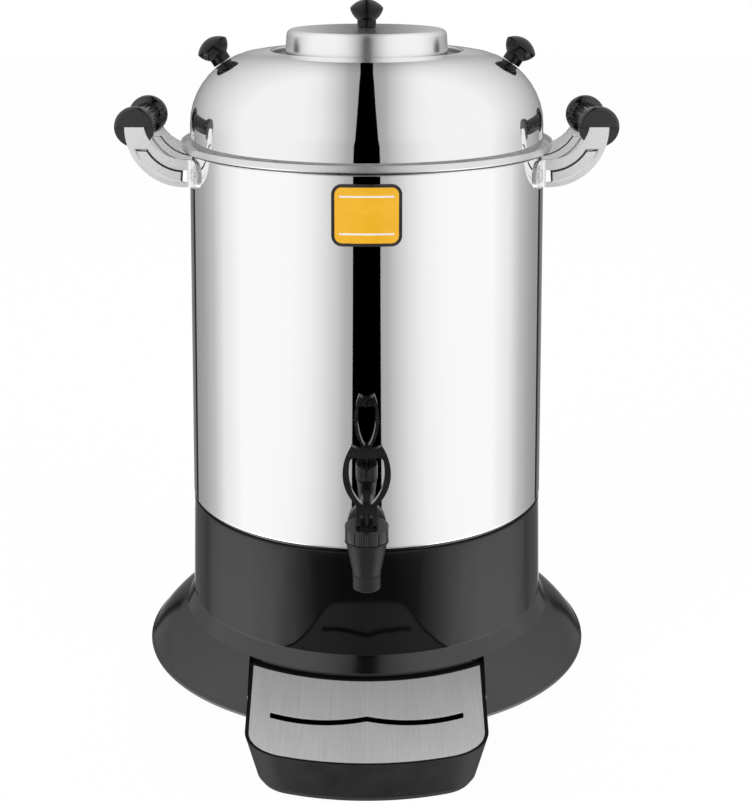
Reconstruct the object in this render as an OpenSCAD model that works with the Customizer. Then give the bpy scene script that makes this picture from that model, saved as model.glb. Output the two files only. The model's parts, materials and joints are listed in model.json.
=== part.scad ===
// Electric milk dispenser: a polished steel urn on a black moulded base, with a loop-lever tap,
// a lift-off dome lid with a filler lid, two handles and a slide-out drip tray.
// Millimetres, +Z up, the front faces -Y. The origin is on the urn's axis, on the table.

/* [Body] */
// Outside diameter of the steel shell
body_d = 300; // [290:1:312]
// Height of the shell from the base seam to the rim ledge
body_h = 299; // [270:1:330]
// Thickness of the steel sheet
sheet_t = 1; // [0.8:0.1:1.4]
// Air gap between the shell and the milk tank
jacket_gap = 9; // [7:0.5:12]
// Width of the rim ledge outside the shell
rim_w = 7.2; // [6.5:0.1:9]
// Height of the upturned rim above its ledge
rim_h = 6; // [4:0.5:9]
// Width of the shell's turned-in bottom hem
hem_w = 3.5; // [2.8:0.1:4]
// Radius of the rolled corner below the rim's lip
lip_r = 3; // [2.5:0.1:3.6]
// Radius of the tank's bottom corner
tank_corner_r = 8; // [5:0.5:8.5]

/* [Base] */
// Height of the brim's bead above the table
brim_clear = 4; // [3:0.5:6]
// Height of the brim from the bead's underside to the crease
brim_h = 34; // [31:0.5:40]
// Outside diameter over the brim's bead
brim_d = 377; // [366:1:392]
// Radius of the brim's gentle outward bulge
brim_bulge_r = 90; // [70:5:160]
// Radius of the bead round the brim
bead_r = 2.75; // [2:0.25:3.5]
// Height of the shoulder between the crease and the band
shoulder_h = 12; // [9:0.5:15]
// Width of the shoulder
shoulder_w = 6; // [5:0.5:8]
// Height of the upright band
band_h = 86; // [76:1:100]
// How far the band spreads from its top to its foot
band_draft = 1.4; // [0:0.2:3]
// Wall of the moulded skirt
skirt_t = 3; // [2:0.25:4]
// Height of the spigot inside the shell
spigot_h = 5; // [3:0.5:6]
// Height of the groove between the band and the shell
seam_gap = 2.2; // [1.4:0.2:3]
// Thickness of the base plate
base_plate_t = 1.5; // [1:0.25:3]
// Diameter of the screw posts inside the skirt
post_d = 10; // [8:0.5:12]
// Number of screw posts
post_count = 6; // [4:1:8]
// Length of the base plate's screws
plate_screw_len = 14; // [10:0.5:18]
// Height of the rubber feet
foot_h = 8; // [6:0.5:11]
// Diameter of the rubber feet
foot_d = 24; // [16:1:30]
// Rubber between a foot screw's head and the base plate
foot_seat_t = 3; // [2:0.25:3.5]
// Length of a foot screw's shank
foot_screw_len = 9; // [7:0.5:11]
// Diameter of the plain foot under the middle
middle_foot_d = 22; // [16:1:30]
// Radius of the circle of feet
foot_ring_r = 122; // [110:1:126]

/* [Dome lid] */
// Height of the dome's straight wall
dome_wall_h = 19.2; // [14:0.2:30]
// Radius of the dome's rounded corner
dome_corner_r = 60; // [50:1:62]
// Slope of the crown, in degrees
crown_slope = 6; // [3:0.5:10]
// Diameter of the recess round the filler lid
recess_d = 160; // [154:1:168]
// Depth of that recess
recess_h = 6.5; // [5:0.5:9]
// Radius of the rolled edge of the recess
recess_edge_r = 3; // [2:0.25:4]
// Diameter of the filler opening
fill_d = 122; // [100:1:124]
// Depth of the neck that is turned down round the opening
neck_h = 6; // [3:0.5:10]
// Gap between a lid and its seat
lid_gap = 0.2; // [0.1:0.05:0.4]

/* [Filler lid and knobs] */
// Diameter of the filler lid's wall at its foot
filler_d = 138; // [130:1:142]
// Diameter of the filler lid's wall at its top
filler_top_d = 135; // [126:1:138]
// Height of the filler lid
filler_h = 24; // [18:0.5:32]
// Radius of the filler lid's top edge
filler_edge_r = 5; // [3:0.5:7]
// Width of the filler lid's flange
filler_flange_w = 4; // [3:0.25:5]
// Height of a knob
knob_h = 23.5; // [20:0.5:28]
// Diameter of a knob's head
knob_d = 28; // [25:0.5:32]
// Diameter of a knob's neck
knob_neck_d = 16; // [14:0.5:18]
// Height of the crease round a knob's head
knob_crease_h = 15.5; // [13:0.5:17]
// Radius of the bulge under a knob's head
knob_bowl_r = 15; // [12:0.5:20]
// Lean of the two dome knobs, in degrees
dome_knob_tilt = 33; // [25:1:40]
// Diameter of the knob screws
knob_screw_d = 4; // [3:0.5:5]

/* [Handles] */
// Distance of the grip's axis from the shell
grip_reach = 41.5; // [38:0.5:50]
// Height of the grip's axis above the rim ledge
grip_rise = 21; // [16:0.5:26]
// Length of the grip over its end discs
grip_len = 92; // [84:1:110]
// Diameter of the grip's end discs
grip_d = 33.6; // [30:0.2:38]
// Thickness of an end disc
grip_disc_t = 9; // [7:0.5:11]
// Diameter of the grip's waist
grip_waist_d = 23; // [20:0.5:26]
// Number of flutes round the waist
grip_flutes = 20; // [12:1:26]
// Thickness of the arm's sheet
arm_t = 2; // [1.5:0.1:3]
// Height of the arm where it meets the shell
arm_root_h = 23; // [20:0.5:26]
// Width of the arm where it meets the grip
arm_tip_w = 16; // [13:0.5:18]
// Drop from the grip's axis to the lowest point of the arm
arm_drop = 50; // [46:0.5:54]
// Length of the arm's foot along the shell
arm_foot_w = 16; // [14:0.5:20]
// Height of the pressed rib
rib_h = 1.2; // [0.6:0.1:1.4]
// Plain margin between the arm's outer edge and the rib
rib_margin = 4.2; // [3.5:0.1:5.5]
// Width of the rib
rib_w = 10; // [7:0.5:11]
// Drop from the grip's axis to the end of the rib
rib_stop = 18; // [14:0.5:24]
// Width of the slot at the rib's root
rib_slot_w = 4; // [2:0.25:4.5]
// Diameter of the arm's peg in the grip
peg_d = 8; // [6:0.5:10]
// Length of that peg
peg_len = 14; // [8:1:20]
// Diameter of a rivet's shank
rivet_d = 3; // [2.5:0.1:3.6]
// Distance between the two rivets of a foot
rivet_pitch = 11; // [9:0.5:13]

/* [Tap] */
// Height of the tap's shank above the base seam
tap_rise = 23.3; // [22.5:0.1:30]
// Height of the tap's shank above the tank floor
tap_floor = 21.5; // [21:0.5:26]
// Distance of the spout's axis from the shell
spout_reach = 67; // [60:0.5:74]
// Diameter of the shank
shank_d = 16; // [14:0.5:17]
// Diameter of the milk passage in the shank
passage_d = 9; // [7:0.5:10]
// Diameter of the round collar on the shell
collar_d = 30.6; // [28:0.2:34]
// Thickness of that collar
collar_t = 5; // [4:0.5:8]
// Thickness of a gasket
gasket_t = 2; // [1.5:0.25:3]
// Thickness of the lock nut
lock_nut_t = 6; // [5:0.5:9]
// Drop from the shank's axis to the outlet
spout_drop = 24.6; // [22:0.2:30]
// Outside diameter of the outlet ring
outlet_d = 20.8; // [19:0.2:22]
// Height of the outlet ring
outlet_h = 11.4; // [9:0.2:12]
// Bore of the outlet
outlet_bore_d = 13; // [11:0.5:15]
// Outside diameter of the spout below the bonnet
spout_top_d = 30; // [28:0.2:31]
// Rise of the bonnet's underside above the shank's axis
bonnet_rise = 13; // [12:0.2:16]
// Diameter of the bonnet
bonnet_d = 33; // [32.4:0.2:36]
// Height of the bonnet
bonnet_h = 11.2; // [9:0.2:14]
// Number of flutes round the bonnet
bonnet_flutes = 12; // [10:1:20]
// Depth of those flutes
flute_depth = 0.5; // [0.2:0.05:0.6]
// Diameter of the stem
stem_d = 5.2; // [4.6:0.1:6]
// Diameter of the lever's pin
pin_d = 2.4; // [2:0.1:2.8]
// Running clearance of the stem and the pin
run_gap = 0.05; // [0.02:0.01:0.09]

/* [Lever] */
// Width over the lever's fork
fork_w = 15.8; // [15:0.2:18]
// Gap between the two legs of the fork
fork_gap = 9.2; // [8.4:0.2:10]
// Height of the pin above the bonnet
pin_rise = 5.6; // [5:0.1:7]
// Lift of the stem for each radian of the lever, set by the cam feet
cam_lift = 5; // [4:0.25:5.5]
// Full travel of the lever, in degrees
lever_travel = 40; // [30:1:40]
// Lean of the closed lever towards the shell, in degrees
lever_lean = 5; // [0:1:8]
// Width over the loop's widest place
loop_w = 35.6; // [34:0.2:38]
// Radius of the loop's two side arcs below its widest place
loop_low_r = 31; // [29:0.25:34]
// Radius of the two side arcs above it
loop_high_r = 37.5; // [34:0.5:42]
// Height of the widest place of the loop above the pin
loop_mid_h = 32.6; // [30:0.2:36]
// Radius of the two arcs inside the loop, below its widest place
loop_inner_r = 30.7; // [28:0.1:34]
// Radius of the opening's rounded corners
loop_corner_r = 3.5; // [2:0.25:4]
// Height of the horn tips above the pin
loop_h = 53.4; // [50:0.2:56]
// Width of the loop's bars at its widest place
loop_bar_w = 4.6; // [4:0.2:6]
// Radius of the hollow between the horns
loop_hollow_r = 27; // [22:0.5:32]
// Depth of that hollow below the horn tips
loop_hollow_h = 2.5; // [1.6:0.1:3.6]
// Depth of the bar below the hollow
loop_top_w = 7; // [6:0.1:9]
// Thickness of the loop
loop_t = 7; // [6:0.25:8]

/* [Drip tray] */
// Width of the tray at its back corners
tray_w = 187; // [176:1:196]
// Distance of the tray's front from the urn's axis
tray_front = 286; // [276:1:300]
// Radius of the tray's front edge
tray_front_r = 195; // [170:5:230]
// Radius of the tray's front corners
tray_corner_r = 40; // [30:1:46]
// Taper of each side, in degrees
tray_taper = 2; // [0:0.25:3]
// Height of the tray
tray_h = 34; // [30:0.5:36]
// How far the walls draw in from top to bottom
tray_draft = 9; // [5:0.5:11]
// Wall at the tray's top
tray_t = 5; // [4.5:0.25:7]
// Width of the rim round the cover plate
tray_rim_w = 2.4; // [2:0.1:3]
// Width of the rim behind the cover plate
tray_back_rim_w = 3.2; // [2.4:0.1:4]
// Floor of the tray
tray_floor_t = 2.5; // [2:0.25:4]
// Gap between the tray and its bay
tray_gap = 0.6; // [0.4:0.1:1.2]
// Thickness of the cover plate
cover_t = 1; // [0.8:0.1:2]
// How far the cover plate lies below the rim
cover_sink = 0.3; // [0:0.1:0.6]
// Gap round the cover plate
cover_gap = 0.4; // [0.3:0.1:0.8]
// Length of the wavy slot
slot_len = 145; // [120:1:150]
// Width of the wavy slot
slot_w = 8.5; // [6:0.25:10]
// Distance of the slot's front crests from the urn's axis
slot_y = 225.5; // [215:0.5:235]
// Distance of those crests from the middle
slot_crest_x = 30; // [20:1:36]
// Depth of the slot's wave at its ends
slot_wave = 11.5; // [6:0.5:14]

/* [Controls at the back] */
// Height of the controls above the shoulder
control_rise = 45; // [36:1:54]
// Diameter of the thermostat knob
dial_d = 40; // [32:1:46]
// Height of the thermostat knob
dial_h = 17; // [13:0.5:22]
// Diameter of the thermostat's spindle
spindle_d = 6; // [5:0.5:7]
// Diameter of the thermostat's threaded bush
bush_d = 10; // [9:0.5:12]
// Angle of the lamp and the gland from the back, in degrees
side_angle = 20; // [16:1:28]
// Diameter of the pilot lamp's barrel
lamp_d = 10; // [8:0.5:13]
// Diameter of the cord gland's barrel
gland_d = 14; // [12:0.5:16]
// Bore of the cord gland
gland_bore_d = 8; // [7:0.5:9]

/* [Heater and plate on the front] */
// Diameter of the heat spreader
spreader_d = 200; // [170:2:210]
// Thickness of the heat spreader
spreader_t = 5; // [4:0.5:5.5]
// Diameter of the tubular heating element
element_d = 8; // [6:0.5:10]
// Diameter of the element's ring
element_ring_d = 160; // [130:2:164]
// Length of the element's two legs below its ring
element_leg_len = 26; // [20:1:34]
// Diameter of the tie rods
rod_d = 6; // [5:0.5:8]
// Width of the plate on the front
plate_w = 54; // [40:1:60]
// Height of that plate
plate_h = 48; // [30:1:52]
// Thickness of that plate
plate_t = 1.2; // [0.8:0.1:2]
// Height of the plate's middle below the rim ledge
plate_drop = 33; // [32:0.5:60]

/* [Hidden] */
$fn = 96;
// Overlap of cutting shapes past a face
eps = 0.01;
// Steps of a rounded corner in a revolved profile
steps = 10;
// Clearance of pieces that are fixed in a hole
fit_gap = 0.1;
// Facets of large round faces that thin pieces lie on
fine = 360;

polished = "gainsboro";
black = "#1c1c1e";
dark = "#2b2b2d";
steel = "silver";
silicone = "#e9e4da";

// Heights, from the table up
z_crease = brim_clear + brim_h;
z_band = z_crease + shoulder_h;
z_seam = z_band + band_h;
z_ledge = z_seam + body_h;
z_rim = z_ledge + rim_h;
z_dome = z_ledge + sheet_t + lid_gap;
z_tap = z_seam + tap_rise;
z_tank = z_tap - tap_floor;
z_control = z_band + control_rise;
z_post = foot_h + base_plate_t;

// Radii of the body and the base
body_r = body_d / 2;
inner_r = body_r - sheet_t;
tank_r = inner_r - jacket_gap;
rim_r = body_r + rim_w;
band_top_r = body_r - 0.4;
band_r = band_top_r + band_draft;
crease_r = band_r + shoulder_w;
spigot_r = body_r - hem_w - 0.3;
seat_r = spigot_r + 1.5;
z_band_top = z_seam - seam_gap;
bead_c = [brim_d / 2 - bead_r, brim_clear + bead_r];
post_ring_r = band_r - skirt_t - post_d / 2 + 1.5;
rod_ring_r = tank_r - tank_corner_r - rod_d;

// Bay of the drip tray in the brim
tray_back_r = crease_r + 1;
bay_r = tray_back_r - tray_gap;
bay_half_w = tray_w / 2 + tray_gap;

// Points along an arc about c, from angle a0 to angle a1
function arc(c, r, a0, a1, n = steps) =
    [for (i = [0:n]) c + r * [cos(a0 + (a1 - a0) * i / n), sin(a0 + (a1 - a0) * i / n)]];

// Centre of the arc of radius r from p to q that bulges to the left of that way
function arc_centre(p, q, r) =
    let (m = (p + q) / 2, d = q - p, h = norm(d) / 2)
    m + [d.y, -d.x] / norm(d) * sqrt(r * r - h * h);

function reversed(a) = [for (i = [len(a) - 1:-1:0]) a[i]];
function angle_of(v) = atan2(v.y, v.x);

// A sheet-metal profile between a path and the same path moved in by the sheet's thickness
module revolve_sheet(outer, inner) {
    rotate_extrude() polygon(concat(outer, reversed(inner)));
}

module ring_of(count, r, first = 0) {
    for (i = [0:count - 1]) rotate(first + i * 360 / count) translate([r, 0, 0]) children();
}

module tube_y(r, y0, y1) {
    translate([0, y1, 0]) rotate([90, 0, 0]) cylinder(r = r, h = y1 - y0);
}

// A pan-head screw with its head's underside at z = 0 and its shank upwards
module screw_up(shank_r, len) {
    cylinder(r = shank_r, h = len);
    translate([0, 0, -1.2 * shank_r]) cylinder(r1 = 1.6 * shank_r, r2 = 2 * shank_r, h = 1.2 * shank_r);
}

// Base

brim_start = [crease_r, z_crease];
brim_end = bead_c + bead_r * [cos(75), sin(75)];
brim_c = arc_centre(brim_start, brim_end, brim_bulge_r);

function brim_arc(inset) = arc(brim_c, brim_bulge_r - inset,
    angle_of(brim_start - brim_c), angle_of(brim_end - brim_c));

module skirt_profile() {
    spigot_t = 2;
    polygon(concat(
        [[spigot_r - spigot_t, z_seam + spigot_h], [spigot_r, z_seam + spigot_h], [spigot_r, z_seam],
         [seat_r, z_seam], [seat_r, z_band_top]],
        arc([band_top_r - 1, z_band_top - 1], 1, 90, 0, 4),
        [[band_r, z_band]],
        brim_arc(0),
        reversed(brim_arc(skirt_t)),
        [[crease_r - skirt_t, z_crease - skirt_t / 2], [band_r - skirt_t, z_band - 1],
         [band_top_r - skirt_t, z_band_top - skirt_t], [spigot_r - spigot_t, z_band_top - 1]]
    ));
    translate(bead_c) circle(r = bead_r, $fn = 48);
}

// The room under the shoulder and the brim, from which the walls of the tray's bay are cut
module bay_walls() {
    intersection() {
        rotate_extrude() polygon(concat(
            [[bay_r - skirt_t, brim_clear], [bay_r - skirt_t, z_crease], [crease_r - 1, z_crease - 1]],
            brim_arc(1),
            [[bead_c.x, brim_clear]]
        ));
        translate([-bay_half_w - skirt_t, -brim_d, 0]) cube([2 * (bay_half_w + skirt_t), brim_d, z_crease]);
    }
}

module bay_cut() {
    difference() {
        translate([-bay_half_w, -brim_d, -eps]) cube([2 * bay_half_w, brim_d, z_band]);
        translate([0, 0, -1]) cylinder(r = bay_r, h = z_band + 2);
    }
}

module at_back(angle, z) {
    rotate(-angle) translate([0, 0, z]) children();
}

module base_skirt() color(black) difference() {
    union() {
        rotate_extrude() skirt_profile();
        bay_walls();
        ring_of(post_count, post_ring_r)
            translate([0, 0, z_post]) cylinder(d = post_d, h = z_band + 20 - z_post);
    }
    bay_cut();
    ring_of(post_count, post_ring_r) translate([0, 0, z_post - eps]) cylinder(r = 1.65, h = plate_screw_len);
    at_back(0, z_control) tube_y(bush_d / 2 + fit_gap, body_r - 20, body_r + 20);
    at_back(side_angle, z_control) tube_y(lamp_d / 2 + fit_gap, body_r - 20, body_r + 20);
    at_back(-side_angle, z_control) tube_y(gland_d / 2 + fit_gap, body_r - 20, body_r + 20);
}

module base_plate() color(steel) difference() {
    translate([0, 0, foot_h]) cylinder(r = post_ring_r + post_d / 2, h = base_plate_t);
    ring_of(post_count, post_ring_r) cylinder(r = 1.8, h = 2 * z_post);
    ring_of(4, foot_ring_r, 45) cylinder(r = 2.1, h = 2 * z_post);
    ring_of(3, rod_ring_r, 30) cylinder(r = rod_d / 2 + 0.2, h = 2 * z_post);
    cylinder(r = foot_plug_r + fit_gap, h = 2 * z_post);
}

module base_plate_screws() color(steel)
    ring_of(post_count, post_ring_r) translate([0, 0, foot_h]) screw_up(1.6, plate_screw_len);

foot_plug_r = 2.9;

// Four feet on screws, and one under the middle that is pushed into the plate and held by its barb
module rubber_feet() color(dark) {
    ring_of(4, foot_ring_r, 45) difference() {
        cylinder(d1 = foot_d - 4, d2 = foot_d, h = foot_h);
        translate([0, 0, -eps]) cylinder(r = 4.6, h = foot_h - foot_seat_t + 0.05 + eps);
        cylinder(r = 2.1, h = 2 * foot_h);
    }
    cylinder(d1 = middle_foot_d - 4, d2 = middle_foot_d, h = foot_h);
    cylinder(r = foot_plug_r, h = z_post + 1);
    translate([0, 0, z_post + 0.1]) cylinder(r1 = foot_plug_r + 1, r2 = foot_plug_r - 0.6, h = 4);
}

module foot_screws() color(steel)
    ring_of(4, foot_ring_r, 45) translate([0, 0, foot_h - foot_seat_t]) screw_up(2, foot_screw_len);

// Body

// The shell's path: turned-in hem, straight wall, flare to the ledge, turned-up rim
function shell_path(d) =
    let (flare_r = 2, hem_r = 2)
    concat(
        [[body_r - hem_w, z_seam + d]],
        arc([body_r - hem_r, z_seam + hem_r], hem_r - d, -90, 0, 6),
        arc([body_r + flare_r, z_ledge - sheet_t - flare_r], flare_r + d, 180, 90, 6),
        arc([rim_r - lip_r, z_ledge - sheet_t + lip_r], lip_r - d, -90, 0, 6),
        [[rim_r - d, z_rim]]
    );

module outer_shell() color(polished) difference() {
    revolve_sheet(shell_path(0), shell_path(sheet_t));
    translate([0, 0, z_tap]) tube_y(shank_d / 2 + fit_gap, -body_r - 10, -body_r + 30);
    rivet_places() tube_y(rivet_d / 2 + 0.05, body_r - 10, body_r + 10);
}

function tank_path(d) = concat(
    [[0, z_tank + d]],
    arc([tank_r - tank_corner_r, z_tank + tank_corner_r], tank_corner_r - d, -90, 0, 8),
    [[tank_r - d, z_ledge + d], [rim_r - lip_r - 0.2, z_ledge + d]]
);

module inner_tank() color(steel) difference() {
    revolve_sheet(tank_path(0), tank_path(sheet_t));
    translate([0, 0, z_tap]) tube_y(shank_d / 2 + fit_gap, -tank_r - 10, -tank_r + 30);
}

module heat_spreader() color("lightgray") difference() {
    translate([0, 0, z_tank - spreader_t]) cylinder(d = spreader_d, h = spreader_t);
    translate([0, 0, z_tank - spreader_t]) element_ring();
}

z_element = z_tank - spreader_t;
element_gap_angle = 24;

// The element's ring is half sunk in a groove of the spreader
module element_ring() {
    rotate(90 + element_gap_angle / 2) rotate_extrude(angle = 360 - element_gap_angle)
        translate([element_ring_d / 2, 0]) circle(d = element_d, $fn = 32);
}

module heating_element() color("dimgray") {
    translate([0, 0, z_element]) element_ring();
    for (side = [-1, 1]) rotate(90 + side * element_gap_angle / 2)
        translate([element_ring_d / 2, 0, z_element - element_leg_len]) {
            cylinder(d = element_d, h = element_leg_len);
            translate([0, 0, -8]) cylinder(d = element_d / 2, h = 8);
        }
}

module limit_thermostat() color(dark) translate([0, 0, z_element]) {
    translate([0, 0, -2]) cylinder(d = 26, h = 2);
    translate([0, 0, -12]) cylinder(d = 16, h = 10);
    for (side = [-1, 1]) translate([side * 4 - 0.4, -3, -20]) cube([0.8, 6, 8]);
}

module tie_rods() color(steel) ring_of(3, rod_ring_r, 30)
    translate([0, 0, foot_h - 5]) cylinder(d = rod_d, h = z_tank - foot_h + 5);

module tie_rod_nuts() color(steel) ring_of(3, rod_ring_r, 30) translate([0, 0, foot_h - 4]) difference() {
    cylinder(d = 1.9 * rod_d, h = 4, $fn = 6);
    translate([0, 0, -eps]) cylinder(r = rod_d / 2 + 0.02, h = 5);
}

// Controls

// Radius of the band's outer face at a height
function band_at(z) = band_r - band_draft * (z - z_band) / band_h;

control_r = band_at(z_control);
bush_end = control_r + 6.5;
thermostat_face = control_r - skirt_t - 2;

module thermostat() color(dark) at_back(0, z_control) difference() {
    union() {
        translate([-17, thermostat_face - 24, -19]) cube([34, 24, 38]);
        tube_y(bush_d / 2, thermostat_face - 1, bush_end);
    }
    tube_y(spindle_d / 2 + run_gap, thermostat_face - 14, bush_end + 1);
}

module thermostat_spindle() color(steel) at_back(0, z_control)
    tube_y(spindle_d / 2, thermostat_face - 13, control_r + dial_h - 4);

module thermostat_nut() color(steel) at_back(0, z_control) difference() {
    tube_y(bush_d / 2 + 3.5, control_r + 0.1, control_r + 3.1);
    tube_y(bush_d / 2 + 0.02, control_r - 1, control_r + 4);
}

// The dial: a tapered knob with a raised finger bar, hollow over the bush and its nut
module thermostat_knob() color(black) at_back(0, z_control) difference() {
    y0 = control_r + 1.2;
    y1 = control_r + dial_h;
    hollow_end = bush_end + 0.8;
    union() {
        rotate([-90, 0, 0]) rotate_extrude() polygon(concat(
            [[0, y0], [dial_d / 2, y0], [dial_d / 2, y0 + 3], [dial_d / 2 - 4, y0 + 5]],
            arc([dial_d / 2 - 6.5, y1 - 7], 2, 0, 90, 6),
            [[0, y1 - 5]]
        ));
        intersection() {
            translate([-4, y0 + 1, -dial_d / 2]) cube([8, y1 - y0 - 1, dial_d]);
            tube_y(dial_d / 2 - 1, y0, y1);
        }
    }
    tube_y(bush_d / 2 + 5, y0 - 1, hollow_end);
    tube_y(spindle_d / 2, hollow_end - 1, control_r + dial_h - 4);
}

module pilot_lamp() color("#c8431d") at_back(side_angle, z_control) {
    rotate([-90, 0, 0]) rotate_extrude() polygon(concat(
        [[0, control_r - skirt_t - 12], [lamp_d / 2, control_r - skirt_t - 12],
         [lamp_d / 2, control_r + 0.2], [lamp_d / 2 + 1.6, control_r + 0.2],
         [lamp_d / 2 + 1.6, control_r + 1.6]],
        arc([0, control_r + 1.6], lamp_d / 2, 0, 80, 8),
        [[0, control_r + 1.6 + lamp_d / 2]]
    ));
}

gland_in = control_r - skirt_t - 8;
gland_out = control_r + 6;

module cord_gland() color(black) at_back(-side_angle, z_control) rotate([-90, 0, 0]) rotate_extrude()
    polygon([
        [gland_bore_d / 2, gland_in], [gland_d / 2, gland_in], [gland_d / 2, control_r + 0.2],
        [gland_d / 2 + 3, control_r + 0.2], [gland_d / 2 + 3, control_r + 2.2],
        [gland_d / 2 - 0.5, gland_out], [gland_bore_d / 2, gland_out]
    ]);

// Lids

dome_r = inner_r + 0.5;
dome_c = [dome_r - dome_corner_r, z_dome + dome_wall_h];
recess_r = recess_d / 2;
edge_r = recess_r + recess_edge_r;
edge_c = [edge_r, dome_c.y + ((dome_corner_r - recess_edge_r) - (edge_r - dome_c.x) * sin(crown_slope))
    / cos(crown_slope)];
z_recess = edge_c.y + recess_edge_r - recess_h;
fill_r = fill_d / 2;

// The dome's path: wall, rounded corner, sloping crown, recess and turned-down neck
function dome_path(d) =
    let (floor_r = 2, neck_r = 2)
    concat(
        [[dome_r - d, z_dome]],
        arc(dome_c, dome_corner_r - d, 0, 90 - crown_slope, 18),
        arc(edge_c, recess_edge_r - d, 90 - crown_slope, 180, 8),
        arc([recess_r - floor_r, z_recess + floor_r], floor_r + d, 0, -90, 6),
        arc([fill_r + neck_r, z_recess - neck_r], neck_r - d, 90, 180, 6),
        [[fill_r + d, z_recess - neck_r - neck_h]]
    );

// Puts a knob's seat on the dome's rounded corner, leaning with its surface
module on_dome(side) {
    rotate(side > 0 ? 0 : 180) translate([dome_c.x, 0, dome_c.y])
        rotate([0, dome_knob_tilt, 0]) translate([0, 0, dome_corner_r]) children();
}

module dome_lid() color(polished) difference() {
    revolve_sheet(dome_path(0), dome_path(sheet_t));
    for (side = [-1, 1]) on_dome(side) translate([0, 0, -5]) cylinder(r = knob_screw_d / 2 + fit_gap, h = 10);
}

knob_socket_h = 12;

// A turned knob: neck with a small foot edge, bulging underside up to a crease, domed head
module lid_knob() {
    foot_edge = 0.6;
    crease_t = 0.6;
    neck_r = knob_neck_d / 2;
    head_r = knob_d / 2;
    neck_top = [neck_r, knob_crease_h - 9.5];
    crease = [head_r, knob_crease_h];
    bowl_c = arc_centre(crease, neck_top, knob_bowl_r);
    head_h = knob_h - knob_crease_h - crease_t;
    crown_r = (head_r * head_r + head_h * head_h) / (2 * head_h);
    crown_z = knob_h - crown_r;
    difference() {
        rotate_extrude() polygon(concat(
            [[0, 0], [neck_r - foot_edge, 0], [neck_r, foot_edge]],
            arc(bowl_c, knob_bowl_r, angle_of(neck_top - bowl_c), angle_of(crease - bowl_c), 8),
            arc([0, crown_z], crown_r, asin((knob_crease_h + crease_t - crown_z) / crown_r), 82, 10),
            [[0, crown_z + crown_r * sin(82)]]
        ));
        translate([0, 0, -eps]) cylinder(r = knob_screw_d / 2 + 0.02, h = knob_socket_h);
    }
}

module dome_knob_left() color(black) on_dome(-1) lid_knob();
module dome_knob_right() color(black) on_dome(1) lid_knob();

// A knob's screw sits under the sheet
module knob_screw() translate([0, 0, -sheet_t - 0.25]) screw_up(knob_screw_d / 2, knob_socket_h + sheet_t - 1);

module dome_knob_screws() color(steel) for (side = [-1, 1]) on_dome(side) knob_screw();

z_filler = z_recess + lid_gap;
z_filler_top = z_filler + filler_h;
filler_crown = 1.6;

// The filler lid's path: flange, upright wall, rounded edge, slightly crowned top
function filler_path(d) =
    let (foot_r = 1.5)
    concat(
        [[filler_d / 2 + filler_flange_w, z_filler + sheet_t - d]],
        arc([filler_d / 2 + foot_r, z_filler + sheet_t + foot_r], foot_r + d, -90, -180, 6),
        arc([filler_top_d / 2 - filler_edge_r, z_filler_top - filler_edge_r], filler_edge_r - d, 0, 88, 10),
        [[0, z_filler_top + filler_crown - d]]
    );

module filler_lid() color(polished) difference() {
    revolve_sheet(filler_path(0), filler_path(sheet_t));
    translate([0, 0, z_filler_top - 5]) cylinder(r = knob_screw_d / 2 + fit_gap, h = 10);
}

module filler_knob() color(black) translate([0, 0, z_filler_top + filler_crown]) lid_knob();
module filler_knob_screw() color(steel) translate([0, 0, z_filler_top + filler_crown]) knob_screw();

// Handles, drawn at the right front and mirrored

grip_x = body_r + grip_reach;
z_grip = z_ledge + grip_rise;
z_arm = z_grip - arm_drop;
arm_y = grip_len / 2 - arm_t;
foot_y = arm_y + arm_t + arm_foot_w;
rivet_y = arm_y + arm_t + arm_foot_w * 0.55;

// Radius of an arc that starts level at the shell, at height z, and passes x at the grip's height
function arm_arc_r(x, z) = (pow(x - body_r, 2) + pow(z_grip - z, 2)) / (2 * (z_grip - z));

arm_outer_r = arm_arc_r(grip_x + arm_tip_w / 2, z_arm);
arm_inner_r = arm_arc_r(grip_x - arm_tip_w / 2, z_arm + arm_root_h);
rib_root_x = body_r + rib_slot_w / 2;

// The arm between its two arcs, and its straight root
module arm_outline() {
    intersection() {
        difference() {
            translate([body_r, z_arm + arm_outer_r]) circle(r = arm_outer_r);
            translate([body_r, z_arm + arm_root_h + arm_inner_r]) circle(r = arm_inner_r);
        }
        translate([body_r, z_arm]) square([grip_x, arm_drop]);
    }
    translate([body_r - 20, z_arm]) square([20 + eps, arm_root_h]);
}

// The pressed rib follows the outer arc, from the slot at the root to a square end below the grip
module rib_outline(inset) {
    rib_r = arm_outer_r - rib_margin;
    intersection() {
        translate([body_r, z_arm + arm_outer_r]) difference() {
            circle(r = rib_r - inset);
            circle(r = rib_r - rib_w + inset);
        }
        translate([rib_root_x, z_arm]) square([grip_x, arm_drop - rib_stop - inset]);
    }
}

// The plate is cut through at the rib's root, so the rib's end is open
module rib_slot() {
    upright(1 - arm_y, arm_t + 2)
        translate([rib_root_x - rib_slot_w, z_arm + rib_margin]) square([rib_slot_w, rib_w]);
}

// Lays a drawing of the XZ plane down with its face at y and its thickness towards the front
module upright(y, t) {
    translate([0, y, 0]) rotate([90, 0, 0]) linear_extrude(t) children();
}

module foot_outline() {
    corner_r = 5;
    y1 = foot_y - corner_r;
    translate([arm_y, 0]) square([y1 - arm_y, arm_root_h]);
    translate([arm_y, corner_r]) square([foot_y - arm_y, arm_root_h - 2 * corner_r]);
    for (z = [corner_r, arm_root_h - corner_r]) translate([y1, z]) circle(r = corner_r);
}

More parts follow.
